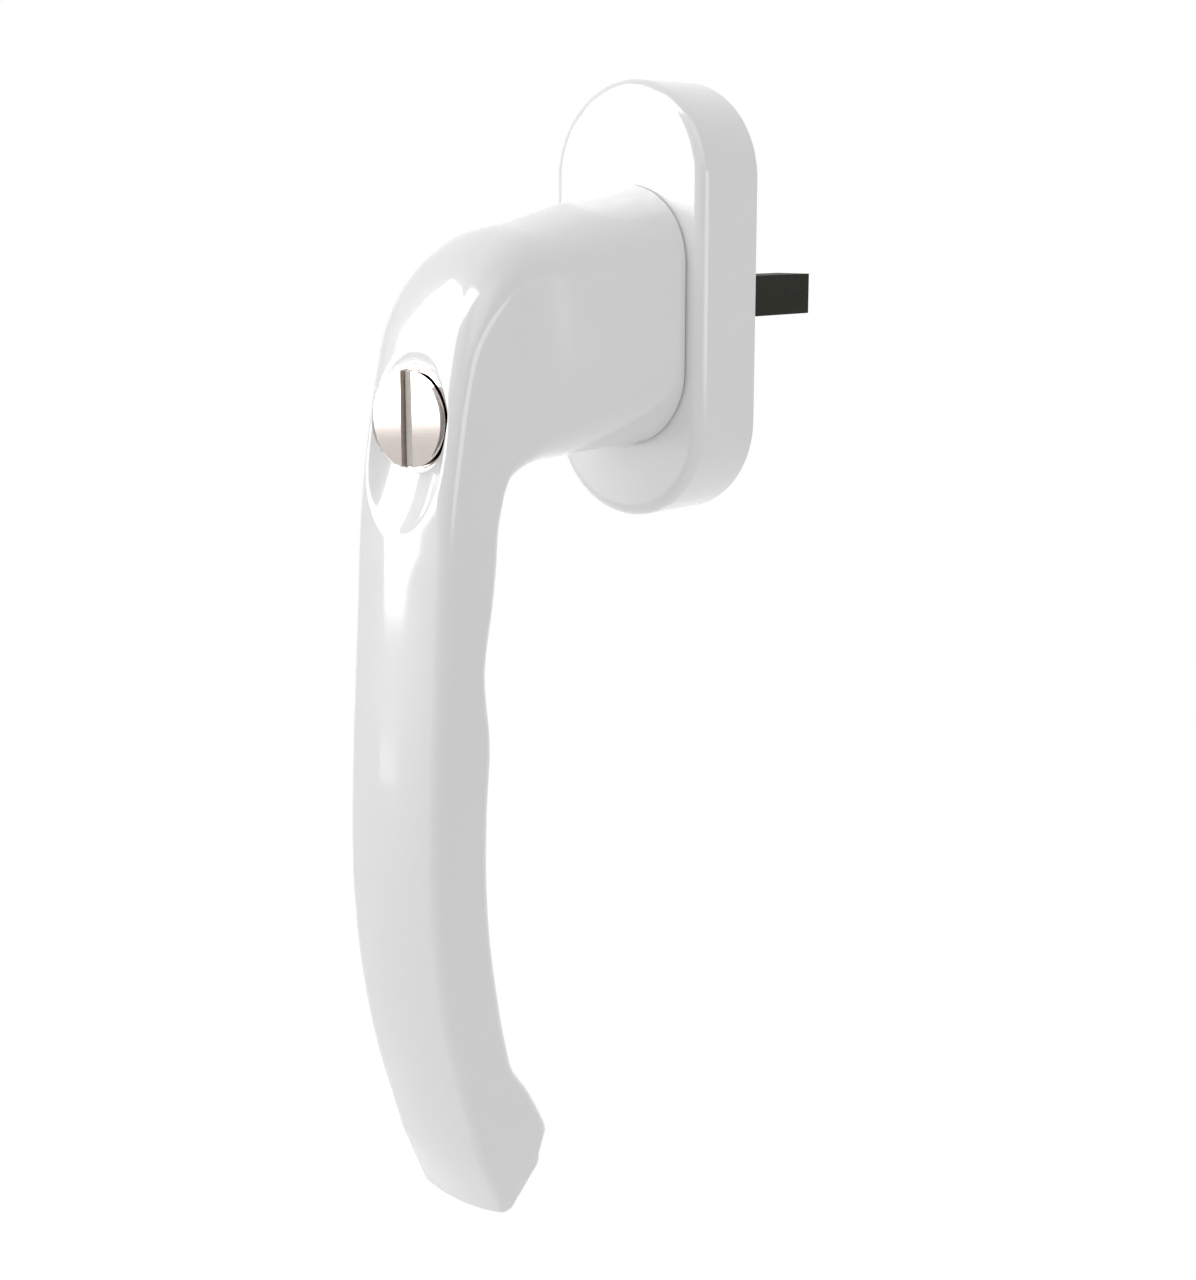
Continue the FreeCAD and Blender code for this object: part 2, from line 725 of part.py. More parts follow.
def wafer_springs():
    z = -lock_drop
    springs = []
    for index in range(wafer_count):
        base = Vector((wafer_width + wafer_ear_width) / 2, -wafer_depth(index), z - wafer_ear_top)
        spring = Part.makeCylinder(wafer_spring_diameter / 2, wafer_spring_length, base)
        springs.append(spring.cut(Part.makeCylinder(wafer_spring_bore / 2, wafer_spring_length, base)))
    return Part.makeCompound(springs)


def plug_clip():
    inner = plug_radius - clip_ring_groove
    return open_ring(clip_ring_diameter / 2, inner, clip_ring_front, clip_ring_back,
                     ring_opening, z=-lock_drop)


def radial_rectangle(inner, outer, face, back, angle):
    c = math.cos(math.radians(angle))
    s = math.sin(math.radians(angle))
    corners = [(inner, face), (outer, face), (outer, back), (inner, back), (inner, face)]
    return Part.makePolygon([Vector(r * c, -depth, -lock_drop + r * s) for r, depth in corners])


def face_tooth(inner, foot, back, start, land):
    """A helical face tooth about the lock's axis.

    Over the key's turn its face moves from the foot depth by the pin's travel into the
    sash, and it stays there over the land. Its root lies at the back depth.
    """
    wires = []
    for step in range(cam_steps + 1):
        share = step / cam_steps
        face = foot - pin_travel * share
        wires.append(radial_rectangle(inner, cam_radius, face, back, start + key_turn * share))
    for step in range(cam_steps if land else 0):
        angle = start + key_turn + land * (step + 1) / cam_steps
        wires.append(radial_rectangle(inner, cam_radius, foot - pin_travel, back, angle))
    return Part.makeLoft(wires, True, True)


def lock_cam():
    """The cam on the plug's tail: two ramps that push the locking pin out as the key turns."""
    z = -lock_drop
    cam = tube_y(cam_radius, cam_front, cam_ramp_foot, z=z)
    cam = cam.fuse(tube_y(cam_hub_radius, cam_front, tail_back + screw_fit, z=z))
    root = cam_hub_radius - cam_gap
    for tooth in range(cam_teeth):
        start = 360 * tooth / cam_teeth
        cam = cam.fuse(face_tooth(root, cam_ramp_foot, cam_front - overlap, start, cam_land))
    return cam.cut(square_y(tail_size + 2 * plug_fit, cam_front + overcut, tail_back - overcut, z=z))


def cam_screw():
    z = -lock_drop
    head_end = tail_back - cam_screw_head_height
    screw = tube_y(cam_screw_head / 2, tail_back, head_end, z=z)
    shank_end = tail_back + cam_screw_length - screw_end_clearance
    screw = screw.fuse(tube_y(cam_screw_diameter / 2, shank_end, head_end, z=z))
    return screw.cut(box_y(screw_slot_width / 2, z - cam_screw_head, z + cam_screw_head,
                           head_end + screw_slot_depth, head_end - overcut))


def locking_pin():
    """The pin with its follower head. The return spring keeps the head on the cam."""
    z = -lock_drop
    pin = tube_y(cam_radius, follower_root, head_back, z=z)
    pocket_end_depth = tail_back - cam_screw_head_height - cam_gap
    pin = pin.cut(tube_y(follower_bore, follower_root + overcut, pocket_end_depth, z=z))
    for tooth in range(cam_teeth):
        start = 360 * tooth / cam_teeth
        pin = pin.fuse(face_tooth(follower_bore, follower_tip, follower_root - overlap, start, 0))
    rod = tube_y(pin_diameter / 2, head_back + overlap, pin_tip, z=-pin_offset)
    tip = [edge for edge in rod.Edges if edge.BoundBox.YMin > -pin_tip - tiny]
    return pin.fuse(rod.makeChamfer(pin_chamfer, tip))


def pin_guide():
    outer = guide_diameter / 2 - pin_fit
    return ring_y(outer, pin_diameter / 2 + guide_fit, guide_front, pin_tip, z=-pin_offset)


def pin_spring():
    radius = (return_spring_diameter - return_spring_wire) / 2
    spring = coil(radius, return_spring_wire, return_spring_turns, head_back - guide_front)
    spring.rotate(Vector(0, 0, 0), Vector(1, 0, 0), 90)
    spring.translate(Vector(0, -guide_front, -pin_offset))
    return spring


def export_all():
    os.makedirs("parts", exist_ok=True)
    pieces = {
        "rose_cover": rose_cover(),
        "base_plate": base_plate(),
        "bearing_bush": bearing_bush(),
        "detent_balls": detent_balls(),
        "detent_springs": detent_springs(),
        "back_plate": back_plate(),
        "plate_screws": plate_screws(),
        "lever_handle": lever_handle(),
        "spindle": spindle(),
        "spindle_pin": spindle_pin(),
        "detent_disc": detent_disc(),
        "thrust_washer": thrust_washer(),
        "retaining_ring": retaining_ring(),
        "lock_housing": lock_housing(),
        "lock_bezel": lock_bezel(),
        "housing_screw": housing_screw(),
        "pin_guide": pin_guide(),
        "pin_spring": pin_spring(),
        "lock_plug": lock_plug(),
        "lock_cam": lock_cam(),
        "cam_screw": cam_screw(),
        "plug_clip": plug_clip(),
        "wafer_springs": wafer_springs(),
        "locking_pin": locking_pin(),
    }
    for index in range(wafer_count):
        pieces["wafer_%d" % (index + 1)] = wafer(index)
    for name, shape in pieces.items():
        shape.exportStep("parts/%s.step" % name)


export_all()
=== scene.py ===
"""Looks of the locking window handle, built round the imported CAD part. Lengths are in millimetres unless a
comment says otherwise."""

import json
import math

import bmesh
import bpy
import numpy as np
from mathutils import Matrix, Vector


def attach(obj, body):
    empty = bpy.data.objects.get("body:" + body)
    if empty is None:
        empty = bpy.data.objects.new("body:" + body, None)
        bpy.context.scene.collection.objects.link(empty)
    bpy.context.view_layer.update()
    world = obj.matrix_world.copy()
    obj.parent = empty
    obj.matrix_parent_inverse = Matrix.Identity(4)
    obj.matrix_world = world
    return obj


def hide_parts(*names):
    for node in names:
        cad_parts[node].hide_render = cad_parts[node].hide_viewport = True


MM = 0.001

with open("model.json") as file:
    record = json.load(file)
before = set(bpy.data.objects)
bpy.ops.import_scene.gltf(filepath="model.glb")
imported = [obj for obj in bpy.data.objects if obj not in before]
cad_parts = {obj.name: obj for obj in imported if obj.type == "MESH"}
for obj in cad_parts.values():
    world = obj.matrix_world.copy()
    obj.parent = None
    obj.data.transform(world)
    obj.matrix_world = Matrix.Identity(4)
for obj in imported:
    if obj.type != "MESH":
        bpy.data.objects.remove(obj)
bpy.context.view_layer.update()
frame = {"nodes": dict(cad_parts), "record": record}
nodes = frame["nodes"]

# Lever, close to the part's source. Depths are counted from the sash into the room.
neck_end = 14.6
neck_top = 19.0
neck_bottom = 23.3
neck_half_width = 13.0
neck_slope = 0.232
neck_under_slope = 0.02
neck_lean = 0.4
elbow_start = 49.0
grip_half_width = 10.0
grip_back = 56.1
grip_end = -147.0
grip_crown = 40.0
finger_notch_back = 55.1
hook_reach = 42.7
tip_radius = 1.5

# How far apart the lever's sections are, closer between the two heights round the recess
fine_low, fine_high = -42, 4
fine_spacing = 0.3
plain_spacing = 0.9
end_gap = 0.3

# How many points make up round forms
section_points = {"crown": 60, "corner": 14, "side": 16, "back": 20}
round_points = 96
shutter_points = 17

# Scooped recess
scoop_center = (68.4, -17.9)
scoop_half_width = 10.9
scoop_half_height = 17.9
scoop_depth = 6.9
scoop_tilt = math.radians(9.5)
scoop_rim = 0.45

# Lock. Each bore is a radius, the depth of its front and the depth of its back.
lock_height = -15.5
lock_bores = ((8.13, 76.5, 61.5), (8.03, 62.0, 56.5), (6.83, 57.0, 46.0), (5.6, 46.5, 27.3))
pin_height = -13.2
pin_channel = (4.5, 36.2, 13.6)

# Bar that closes the slot across the plug's face
shutter_half_width = 1.18
shutter_half_height = 7.1
shutter_edge = 62.7
shutter_rise = 0.45
shutter_back = 62.3

# Journal in the rose, round the spindle, given as a bore is
journal = (7.0, 15.0, 5.5)

# Where between nought and one a noise changes a material from its first colour to its second
cloud_edges = (0.3, 0.7)

# Studio, in metres
floor_height = -0.32
floor_radius = 1.0
lamp_target = (0.0, -0.03, -0.06)

# How bright the room is where it lights, against 1 where it is seen
room_strength = 0.615

# The floor glows white with a little of the handle's shadow left in it
floor_glow = 1.03
floor_glow_share = 0.94

# Softboxes: how bright, then each corner's azimuth, its elevation and how soft the edge to the next corner
# is, in degrees. Azimuth 0 is straight in front of the handle.
softboxes = {
    "tall_window": (8.0, (-52.3, -5.7, 1.8), (-39, -5.3, 2), (-20.3, 2.9, 3), (-1, 46, 3),
                    (-67.5, 47.5, 3), (-65, 40.2, 3)),
    "roof_window": (8.0, (-30, 46, 3), (4, 44, 3), (44, 60, 4), (-25, 62, 4)),
    "side_strip": (2.4, (84, -5, 2), (84, 8, 2), (126, 8, 2), (126, -5, 2)),
    "side_fill": (1.2, (45, 18, 20), (45, 60, 20), (100, 60, 20), (95, 15, 20)),
    "low_strip": (1.6, (-51.5, -11.6, 0.8), (-40, -11.3, 3), (-40, -9.5, 4), (-51.5, -9.5, 0.8)),
}

# The photograph's view, in degrees and millimetres
view_azimuth = 41.7
view_elevation = 12.3
view_place = (218.76, -266.56, 15.77)
view_lens = 56.25
sensor_width = 36.0
nearest_seen = 10.0


def neck(depth, drop, half_width, radius, crown, under_radius, under_crown):
    """A station on the neck. The greater the drop, the nearer the sash its underside lies."""
    run = depth - neck_end
    return (depth, neck_top - neck_slope * run, depth - neck_lean * run * drop,
            -neck_bottom - neck_under_slope * run, half_width, radius, under_radius, crown, under_crown)


def held(front, back, half_width=grip_half_width, front_radius=2.3, back_radius=3.0,
         crown=grip_crown, back_crown=2 * grip_crown):
    """A station on the elbow or the grip. Front and back are each a depth and a height."""
    return (*front, *back, half_width, front_radius, back_radius, crown, back_crown)


lever_stations = [
    neck(neck_end, 0.0, neck_half_width, 12.4, 13.6, 12.6, 13.6),
    neck(27.0, 0.2, neck_half_width - 0.8, 10.6, 14.5, 10.5, 14.5),
    neck(39.0, 0.4, neck_half_width - 1.7, 8.8, 17.0, 7.6, 17.5),
    neck(elbow_start, 0.42, neck_half_width - 2.5, 7.2, 21.0, 4.8, 24.0),
    held((54.3, 7.6), (46.4, -24.0), grip_half_width + 0.4, 6.4, 3.4, 24.0, 40.0),
    held((60.3, -1.0), (50.6, -26.0), grip_half_width + 0.1, 4.8, 3.1, 40.0, 50.0),
    held((62.2, -7.5), (51.7, -27.9), front_radius=4.0, back_crown=55.0),
    held((64.0, -15.5), (52.3, -30.2), front_radius=3.3, back_crown=60.0),
    held((65.8, -25.0), (52.8, -33.2), front_radius=2.8, back_crown=65.0),
    held((66.78, -34.5), (53.2, -38.4), back_crown=70.0),
    held((67.37, -42.5), (54.0, -43.6), back_crown=75.0),
    held((68.27, -54.5), (finger_notch_back + 0.8, -54.2)),
    held((69.1, -65.5), (55.0, -65.5)),
    held((69.7, -76.0), (55.8, -76.0)),
    held((69.9, grip_end + 60.0), (grip_back, grip_end + 60.0)),
    held((69.3, grip_end + 50.0), (55.5, grip_end + 50.0)),
    held((67.9, grip_end + 40.0), (54.0, grip_end + 40.0)),
    held((66.2, grip_end + 32.0), (52.4, grip_end + 32.0)),
    held((64.7, grip_end + 26.5), (hook_reach + 8.0, grip_end + 26.4)),
    held((63.1, grip_end + 21.5), (hook_reach + 5.0, grip_end + 22.3)),
    held((61.6, grip_end + 16.8), (hook_reach + 2.1, grip_end + 17.5)),
    held((60.0, grip_end + 12.2), (hook_reach + 0.4, grip_end + 13.8)),
    held((58.0, grip_end + 8.6), (hook_reach + 0.3, grip_end + 12.0)),
    held((54.5, grip_end + 0.9), (hook_reach + 1.6, grip_end + 10.0)),
]


def spacing(height):
    """How far apart the sections are at a height of the lever's front."""
    return fine_spacing if fine_low < height < fine_high else plain_spacing


def smooth_stations(stations):
    """Stations in between, on a smooth curve through the given ones."""
    rows = np.array(stations, float)
    step = np.diff(rows[:, :4], axis=0)
    run = 0.5 * (np.hypot(step[:, 0], step[:, 1]) + np.hypot(step[:, 2], step[:, 3]))
    slope = np.diff(rows, axis=0) / run[:, None]
    tangent = np.vstack([slope[:1], (slope[:-1] * run[1:, None] + slope[1:] * run[:-1, None])
                         / (run[1:] + run[:-1])[:, None], slope[-1:]])
    made = []
    for i, h in enumerate(run):
        gap = spacing(0.5 * (rows[i, 1] + rows[i + 1, 1]))
        count = max(1, int(round(h / gap)))
        for k in range(count):
            u = k / count
            made.append((2 * u**3 - 3 * u**2 + 1) * rows[i] + (u**3 - 2 * u**2 + u) * h * tangent[i]
                        + (3 * u**2 - 2 * u**3) * rows[i + 1] + (u**3 - u**2) * h * tangent[i + 1])
    made.append(rows[-1])
    return made


def half_outline(half_width, depth, radius, crown, crown_count, radius_count):
    """Points from the middle of a crown's arc, round a corner's arc, to the start of the flat side."""
    crown_middle = depth - crown
    cx = half_width - radius
    rise = math.sqrt((crown - radius) ** 2 - cx**2)
    reach = math.atan2(cx, rise)
    points = [(crown * math.sin(a), crown_middle + crown * math.cos(a))
              for a in np.linspace(0, reach, crown_count // 2 + 1)]
    points += [(cx + radius * math.sin(a), crown_middle + rise + radius * math.cos(a))
               for a in np.linspace(reach, math.pi / 2, radius_count + 1)[1:]]
    return points


def section(station):
    """A closed outline across the lever, from the front's middle round to +X."""
    fd, fz, bd, bz, half_width, front_radius, back_radius, front_crown, back_crown = station
    foot = np.array([0, -bd, bz])
    rise = np.array([0, -fd, fz]) - foot
    depth = np.linalg.norm(rise)
    up = rise / depth
    n = section_points
    front = half_outline(half_width, depth, front_radius, front_crown, n["crown"], n["corner"])
    back = half_outline(half_width, depth, back_radius, back_crown, n["back"], n["corner"])
    back = [(x, depth - v) for x, v in reversed(back)]
    top, low = front[-1][1], back[0][1]
    side = [(half_width, top + (low - top) * k / n["side"]) for k in range(1, n["side"])]
    right = front + side + back
    left = [(-x, v) for x, v in reversed(right[1:-1])]
    return np.array([foot + up * v + np.array([x, 0, 0]) for x, v in right + left])


def scooped(points):
    """Moves points that lie in the recess back to its floor, with a soft rim."""
    b, c = scoop_depth, scoop_half_height
    cos, sin = math.cos(scoop_tilt), math.sin(scoop_tilt)
    depth = -points[:, 1]
    w = points[:, 2] - scoop_center[1]
    a2 = cos**2 / b**2 + sin**2 / c**2
    a1 = 2 * w * cos * sin * (1 / c**2 - 1 / b**2)
    a0 = w**2 * (sin**2 / b**2 + cos**2 / c**2) + (points[:, 0] / scoop_half_width) ** 2 - 1
    root = a1**2 - 4 * a2 * a0
    inside = root > 0
    floor = scoop_center[0] - (-a1 + np.sqrt(np.where(inside, root, 0))) / (2 * a2)
    blend = np.clip(0.5 + 0.5 * (floor - depth) / scoop_rim, 0, 1)
    low = floor + (depth - floor) * blend - scoop_rim * blend * (1 - blend)
    front = depth > grip_back
    moved = points.copy()
    moved[:, 1] = np.where(inside & front, -np.minimum(depth, low), points[:, 1])
    return moved


def add_object(name, data):
    """Puts a mesh, a lamp or a camera in the scene."""
    obj = bpy.data.objects.new(name, data)
    bpy.context.scene.collection.objects.link(obj)
    return obj


def mesh_object(name, points, faces):
    """A piece from points in millimetres, with its faces turned outwards."""
    mesh = bpy.data.meshes.new(name)
    mesh.from_pydata([Vector(p) * MM for p in points], [], faces)
    mesh.validate()
    bm = bmesh.new()
    bm.from_mesh(mesh)
    bmesh.ops.recalc_face_normals(bm, faces=bm.faces)
    bm.to_mesh(mesh)
    bm.free()
    return add_object(name, mesh)


def skin(rings):
    """Quads between closed rings of points, with a face over each end."""
    count = len(rings[0])
    faces = []
    for r in range(len(rings) - 1):
        for k in range(count):
            m = (k + 1) % count
            faces.append((r * count + k, r * count + m, (r + 1) * count + m, (r + 1) * count + k))
    faces.append(tuple(range(count)))
    faces.append(tuple((len(rings) - 1) * count + k for k in reversed(range(count))))
    return np.vstack(rings), faces


def rounded_end(ring, along, radius, steps=7):
    """Rings that round a section off inwards by a quarter circle."""
    middle = ring.mean(axis=0)
    after = np.roll(ring, -1, axis=0) - np.roll(ring, 1, axis=0)
    after /= np.linalg.norm(after, axis=1)[:, None] + 1e-12
    inward = np.cross(after, along)
    inward *= np.sign(np.sum(inward * (middle - ring), axis=1).sum())
    rings = []
    for k in range(1, steps + 1):
        a = math.pi / 2 * k / steps
        rings.append(ring + along * radius * math.sin(a) + inward * radius * (1 - math.cos(a)))
    return rings


def lever_mesh():
    """The lever without its bores, from the neck's end to the rounded tip."""
    rings = [section(s) for s in smooth_stations(lever_stations)]
    along = rings[-1].mean(axis=0) - rings[-2].mean(axis=0)
    up = rings[-1][0] - rings[-1][len(rings[-1]) // 2]
    normal = np.cross(up, np.array([1.0, 0, 0]))
    normal /= np.linalg.norm(normal)
    normal *= np.sign(normal @ along)
    end = rings[-1] - normal * tip_radius
    kept = [r for r in rings if ((r - end) @ normal).max() < -end_gap]
    rings = [scooped(r) for r in kept] + [end] + rounded_end(end, normal, tip_radius)
    return mesh_object("lever_body", *skin(rings))


def round_bar(obj, operation, radius, front, back, height):
    """Adds a round bar along Y to a piece, or takes it out."""
    tool_mesh = bpy.data.meshes.new("tool")
    bm = bmesh.new()
    bmesh.ops.create_cone(bm, cap_ends=True, segments=round_points, radius1=radius * MM, radius2=radius * MM,
                          depth=(front - back) * MM)
    bmesh.ops.rotate(bm, verts=bm.verts, matrix=Matrix.Rotation(math.pi / 2, 3, "X"))
    bmesh.ops.translate(bm, verts=bm.verts, vec=Vector((0, -(front + back) / 2, height)) * MM)
    bm.to_mesh(tool_mesh)
    bm.free()
    tool = add_object("tool", tool_mesh)
    cut = obj.modifiers.new("cut", "BOOLEAN")
    cut.operation = operation
    cut.solver = "EXACT"
    cut.object = tool
    bpy.context.view_layer.update()
    graph = bpy.context.evaluated_depsgraph_get()
    mesh = bpy.data.meshes.new_from_object(obj.evaluated_get(graph))
    obj.modifiers.clear()
    obj.data = mesh
    bpy.data.objects.remove(tool)


def keyway_shutter():
    """A rounded bar that closes the slot across the plug's face, a little behind the face."""
    turns = np.linspace(-math.pi / 2, math.pi / 2, shutter_points)
    outline = [(shutter_half_width * math.sin(t), shutter_edge + shutter_rise * math.cos(t)) for t in turns]
    outline += [(shutter_half_width, shutter_back), (-shutter_half_width, shutter_back)]
    rings = [np.array([(x, -depth, lock_height + end) for x, depth in outline])
             for end in (-shutter_half_height, shutter_half_height)]
    return mesh_object("keyway_shutter", *skin(rings))


def shade(obj, angle=35):
    """Smooth shading, with edges sharper than an angle in degrees left sharp."""
    mesh = obj.data
    mesh.polygons.foreach_set("use_smooth", [True] * len(mesh.polygons))
    mesh.set_sharp_from_angle(angle=math.radians(angle))


class Shader:
    """A Principled material and its nodes. A socket's name is given with underscores for its spaces."""

    def __init__(self, name, color, roughness, metallic=0.0, **sockets):
        self.material = bpy.data.materials.new(name)
        self.material.use_nodes = True
        self.tree = self.material.node_tree
        self.base = self.tree.nodes["Principled BSDF"]
        self.base.inputs["Base Color"].default_value = (*color, 1)
        self.base.inputs["Roughness"].default_value = roughness
        self.base.inputs["Metallic"].default_value = metallic
        for socket, value in sockets.items():
            self.base.inputs[socket.replace("_", " ")].default_value = value

    def node(self, kind, **values):
        made = self.tree.nodes.new(kind)
        for key, value in values.items():
            made.inputs[key.replace("_", " ")].default_value = value
        return made

    def link(self, a, out, b, into):
        self.tree.links.new(a.outputs[out], b.inputs[into])

    def place(self, scale=(1, 1, 1)):
        coords = self.node("ShaderNodeTexCoord")
        mapping = self.node("ShaderNodeMapping")
        mapping.inputs["Scale"].default_value = scale
        self.link(coords, "Object", mapping, "Vector")
        return mapping

    def noise(self, scale, stretch=(1, 1, 1), detail=3.0):
        made = self.node("ShaderNodeTexNoise", Scale=scale, Detail=detail)
        self.link(self.place(stretch), "Vector", made, "Vector")
        return made

    def vary_color(self, scale, low, high, stretch=(1, 1, 1)):
        """Cloudy changes between two colours."""
        ramp = self.node("ShaderNodeValToRGB")
        for element, position, color in zip(ramp.color_ramp.elements, cloud_edges, (low, high)):
            element.position = position
            element.color = (*color, 1)
        self.link(self.noise(scale, stretch), "Fac", ramp, "Fac")
        self.link(ramp, "Color", self.base, "Base Color")

    def vary_roughness(self, scale, low, high, stretch=(1, 1, 1)):
        """Cloudy changes between two roughnesses."""
        spread = self.node("ShaderNodeMapRange")
        spread.inputs["To Min"].default_value = low
        spread.inputs["To Max"].default_value = high
        self.link(self.noise(scale, stretch), "Fac", spread, "Value")
        self.link(spread, "Result", self.base, "Roughness")

    def bump(self, scale, strength, distance):
        """A fine grain as deep as the distance in millimetres."""
        made = self.node("ShaderNodeBump", Strength=strength, Distance=distance * MM)
        self.link(self.noise(scale, detail=2.0), "Fac", made, "Height")
        self.link(made, "Normal", self.base, "Normal")


def white_coat():
    """Gloss coat of the lever and the rose."""
    m = Shader("white_coat", (0.86, 0.86, 0.855), roughness=0.3, Coat_Weight=1.0, Coat_Roughness=0.05,
               Specular_IOR_Level=0.3)
    m.vary_color(60, (0.855, 0.856, 0.852), (0.865, 0.865, 0.86))
    m.vary_roughness(900, low=0.26, high=0.34)
    m.bump(700, strength=0.015, distance=0.05)
    return m.material


def satin_nickel():
    """Brushed nickel of the plug's face."""
    m = Shader("satin_nickel", (0.60, 0.54, 0.51), roughness=0.05, metallic=1.0)
    m.vary_color(500, (0.585, 0.525, 0.495), (0.61, 0.55, 0.52), stretch=(1, 1, 8))
    m.vary_roughness(900, low=0.035, high=0.06, stretch=(12, 1, 1))
    return m.material


def worn_nickel():
    """Dull nickel for the bar in the plug's slot."""
    m = Shader("worn_nickel", (0.55, 0.53, 0.49), roughness=0.6, Specular_IOR_Level=0.15)
    m.vary_color(600, (0.52, 0.50, 0.46), (0.58, 0.56, 0.52), stretch=(1, 1, 4))
    m.vary_roughness(900, low=0.55, high=0.68)
    m.bump(1600, strength=0.1, distance=0.02)
    return m.material


def chrome():
    """Bright plate of the ring round the plug."""
    m = Shader("chrome", (0.80, 0.80, 0.81), roughness=0.08, metallic=1.0)
    m.vary_roughness(700, low=0.05, high=0.14)
    return m.material


def dark_steel():
    """Blackened steel of the spindle."""
    m = Shader("dark_steel", (0.014, 0.014, 0.008), roughness=0.55, Specular_IOR_Level=0.15)
    m.vary_color(300, (0.011, 0.011, 0.006), (0.017, 0.017, 0.010), stretch=(1, 0.2, 1))
    m.vary_roughness(800, low=0.5, high=0.65)
    m.bump(1500, strength=0.15, distance=0.05)
    return m.material


def plain_metal(name, color, roughness):
    """Bare metal of the hidden pieces."""
    m = Shader(name, color, roughness, metallic=1.0)
    m.vary_roughness(900, low=roughness * 0.8, high=roughness * 1.25)
    m.vary_color(400, tuple(0.93 * v for v in color), color)
    m.bump(1800, strength=0.08, distance=0.03)
    return m.material


def nylon():
    """Pale plastic of the bearing."""
    m = Shader("nylon", (0.78, 0.78, 0.74), roughness=0.45)
    m.vary_roughness(600, low=0.38, high=0.55)
    m.vary_color(200, (0.76, 0.76, 0.72), (0.80, 0.80, 0.76))
    m.bump(1500, strength=0.05, distance=0.03)
    return m.material


def combine(tree, operation, first, second):
    """A maths node of two values, each a number or another node's output."""
    made = tree.nodes.new("ShaderNodeMath")
    made.operation = operation
    for socket, value in zip(made.inputs, (first, second)):
        if isinstance(value, bpy.types.NodeSocket):
            tree.links.new(value, socket)
        else:
            socket.default_value = value
    return made.outputs[0]


def seen_ray(tree):
    """One for a ray that shows things straight, in gloss or through glass, nought for one that lights."""
    path = tree.nodes.new("ShaderNodeLightPath").outputs
    seen = combine(tree, "MAXIMUM", path["Is Camera Ray"], path["Is Glossy Ray"])
    return combine(tree, "MAXIMUM", seen, path["Is Transmission Ray"])


def floor_white():
    """A pale floor that glows where it is seen, so that it looks white, and lights as a plain one does."""
    m = Shader("floor_white", (0.9, 0.9, 0.9), roughness=0.8)
    m.vary_color(5, (0.895, 0.895, 0.895), (0.905, 0.905, 0.905))
    glow = m.node("ShaderNodeEmission", Strength=floor_glow)
    mix = m.node("ShaderNodeMixShader")
    share = combine(m.tree, "MULTIPLY", seen_ray(m.tree), floor_glow_share)
    m.tree.links.new(share, mix.inputs[0])
    m.link(m.base, "BSDF", mix, 1)
    m.link(glow, "Emission", mix, 2)
    m.link(mix, "Shader", m.tree.nodes["Material Output"], "Surface")
    return m.material


def floor_disc(radius, height, material):
    """A round floor under the handle. Beyond it the room goes on, as bright as the floor."""
    turns = np.linspace(0, 2 * math.pi, round_points, endpoint=False)
    mesh = bpy.data.meshes.new("floor")
    mesh.from_pydata([(radius * math.cos(t), radius * math.sin(t), height) for t in turns], [],
                     [tuple(range(len(turns)))])
    mesh.materials.append(material)
    return add_object("floor", mesh)


def area_light(name, place, size, power):
    """A soft lamp that lights surfaces and doesn't show in their gloss."""
    lamp = bpy.data.lights.new(name, "AREA")
    lamp.shape = "RECTANGLE"
    lamp.size, lamp.size_y = size
    lamp.energy = power
    obj = add_object(name, lamp)
    obj.location = place
    obj.rotation_euler = (Vector(lamp_target) - Vector(place)).to_track_quat("-Z", "Y").to_euler()
    obj.visible_glossy = False


def toward(azimuth, elevation):
    """The way to a place round the handle, from an azimuth and an elevation in degrees."""
    a, e = math.radians(azimuth), math.radians(elevation)
    return Vector((math.sin(a) * math.cos(e), -math.cos(a) * math.cos(e), math.sin(e)))


def softbox(tree, direction, radiance, *corners):
    """How bright a far pane with straight edges looks in a direction."""
    ways = [toward(azimuth, elevation) for azimuth, elevation, soft in corners]
    middle = sum(ways, Vector())
    light = radiance
    for way, following, (*place, soft) in zip(ways, ways[1:] + ways[:1], corners):
        edge = way.cross(following).normalized()
        inside = tree.nodes.new("ShaderNodeVectorMath")
        inside.operation = "DOT_PRODUCT"
        inside.inputs[1].default_value = edge if edge.dot(middle) > 0 else -edge
        tree.links.new(direction, inside.inputs[0])
        fade = tree.nodes.new("ShaderNodeMapRange")
        fade.interpolation_type = "SMOOTHSTEP"
        fade.inputs["From Min"].default_value = -math.radians(soft) / 2
        fade.inputs["From Max"].default_value = math.radians(soft) / 2
        tree.links.new(inside.outputs["Value"], fade.inputs["Value"])
        light = combine(tree, "MULTIPLY", fade.outputs["Result"], light)
    return light


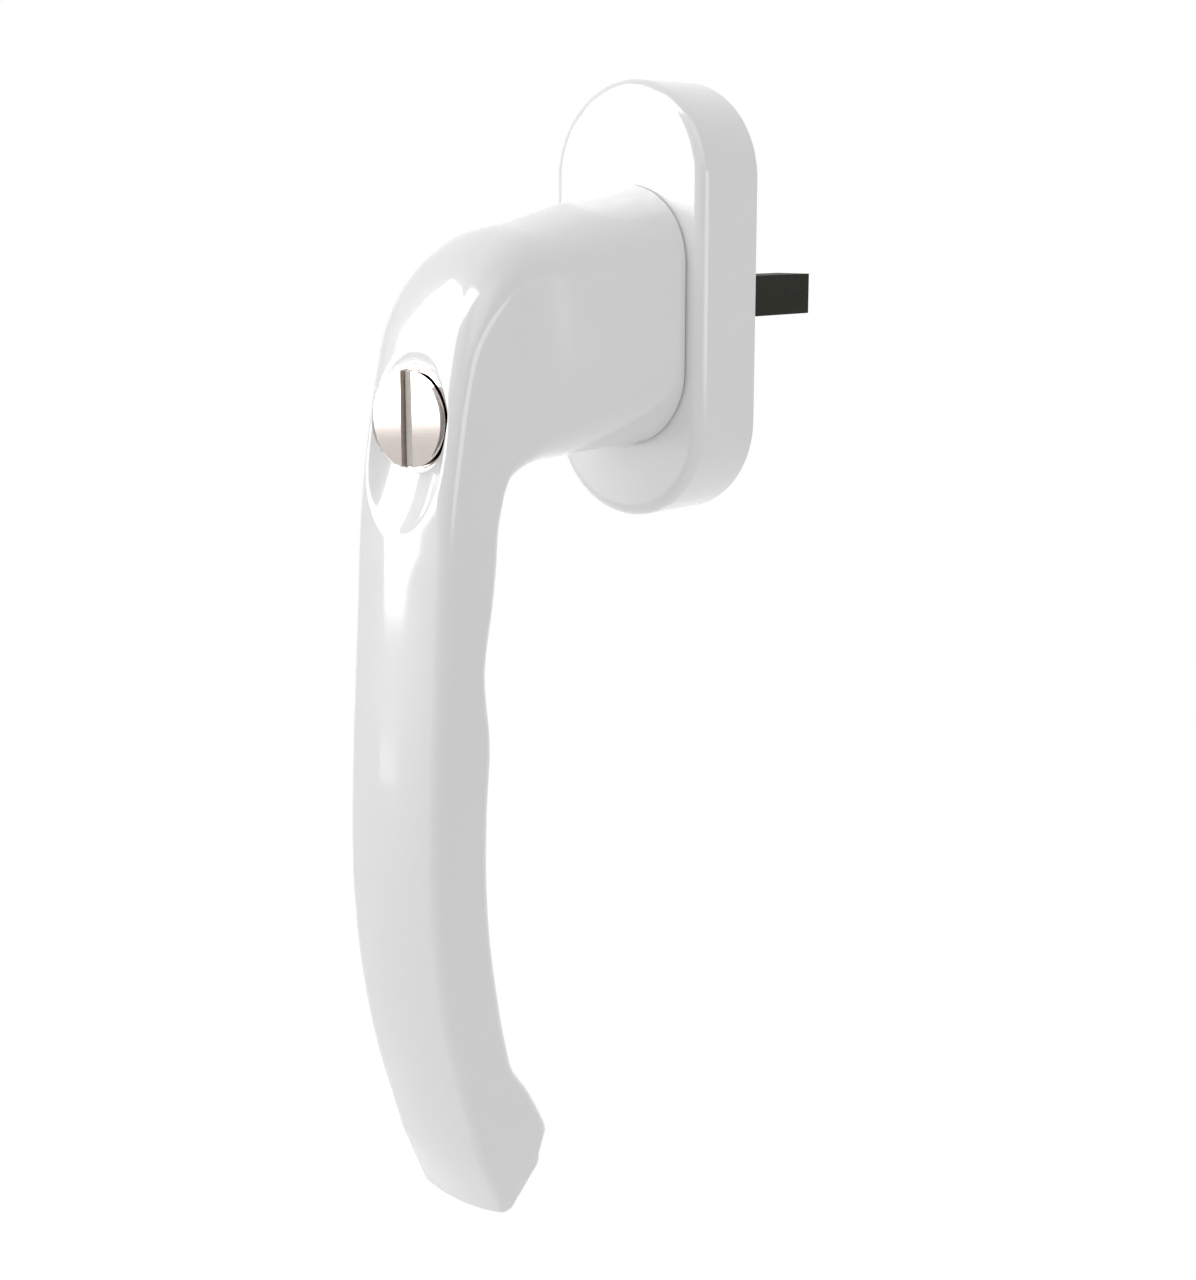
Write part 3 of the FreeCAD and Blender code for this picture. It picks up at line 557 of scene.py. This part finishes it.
def studio_room():
    """A white room with softboxes that show only in gloss."""
    world = bpy.data.worlds.new("studio")
    world.use_nodes = True
    tree = world.node_tree
    direction = tree.nodes.new("ShaderNodeTexCoord").outputs["Generated"]
    first, *others = [softbox(tree, direction, *pane) for pane in softboxes.values()]
    in_gloss = tree.nodes.new("ShaderNodeLightPath").outputs["Is Glossy Ray"]
    glow = first
    for light in others:
        glow = combine(tree, "ADD", glow, light)
    glow = combine(tree, "MULTIPLY", glow, in_gloss)
    strength = combine(tree, "MULTIPLY", seen_ray(tree), 1.0 - room_strength)
    strength = combine(tree, "ADD", combine(tree, "ADD", strength, room_strength), glow)
    background = tree.nodes["Background"]
    background.inputs["Color"].default_value = (1, 1, 1, 1)
    tree.links.new(strength, background.inputs["Strength"])
    return world


def view_camera():
    """A camera at the photograph's view."""
    lens = bpy.data.cameras.new("camera")
    lens.sensor_width = sensor_width
    lens.lens = view_lens
    lens.clip_start = nearest_seen * MM
    back = toward(view_azimuth, view_elevation)
    right = toward(view_azimuth + 90, 0)
    turn = Matrix((right, back.cross(right), back)).transposed().to_4x4()
    camera = add_object("camera", lens)
    camera.matrix_world = Matrix.Translation(Vector(view_place) * MM) @ turn
    return camera


# Pieces
materials = {
    "white_coat": white_coat(),
    "cast_zinc": plain_metal("cast_zinc", (0.55, 0.56, 0.58), roughness=0.45),
    "steel": plain_metal("steel", (0.55, 0.56, 0.57), roughness=0.35),
    "spindle_steel": dark_steel(),
    "spring_steel": plain_metal("spring_steel", (0.45, 0.45, 0.47), roughness=0.3),
    "nylon": nylon(),
    "chrome": chrome(),
    "satin_nickel": satin_nickel(),
    "brass": plain_metal("brass", (0.74, 0.58, 0.28), roughness=0.3),
}
for part in frame["record"]["subparts"]:
    mesh = nodes[part["node"]].data
    mesh.materials.clear()
    mesh.materials.append(materials[part["material_slot"]])

lever = lever_mesh()
for bore in lock_bores:
    round_bar(lever, "DIFFERENCE", *bore, lock_height)
round_bar(lever, "DIFFERENCE", *pin_channel, pin_height)
round_bar(lever, "UNION", *journal, 0)
shade(lever)
lever.data.materials.clear()
lever.data.materials.append(materials["white_coat"])
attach(lever, "lever")
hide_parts("lever_handle")

shutter = keyway_shutter()
shade(shutter)
shutter.data.materials.append(worn_nickel())
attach(shutter, "plug")

# Stage, light and camera
floor_disc(floor_radius, floor_height, floor_white())
area_light("front_light", place=(-0.6, -1.0, 0.6), size=(1.0, 0.8), power=2.2)
area_light("top_light", place=(-0.35, -0.5, 1.0), size=(0.9, 0.9), power=2.3)
scene = bpy.context.scene
scene.world = studio_room()
scene.camera = view_camera()
scene.view_settings.view_transform = "Standard"
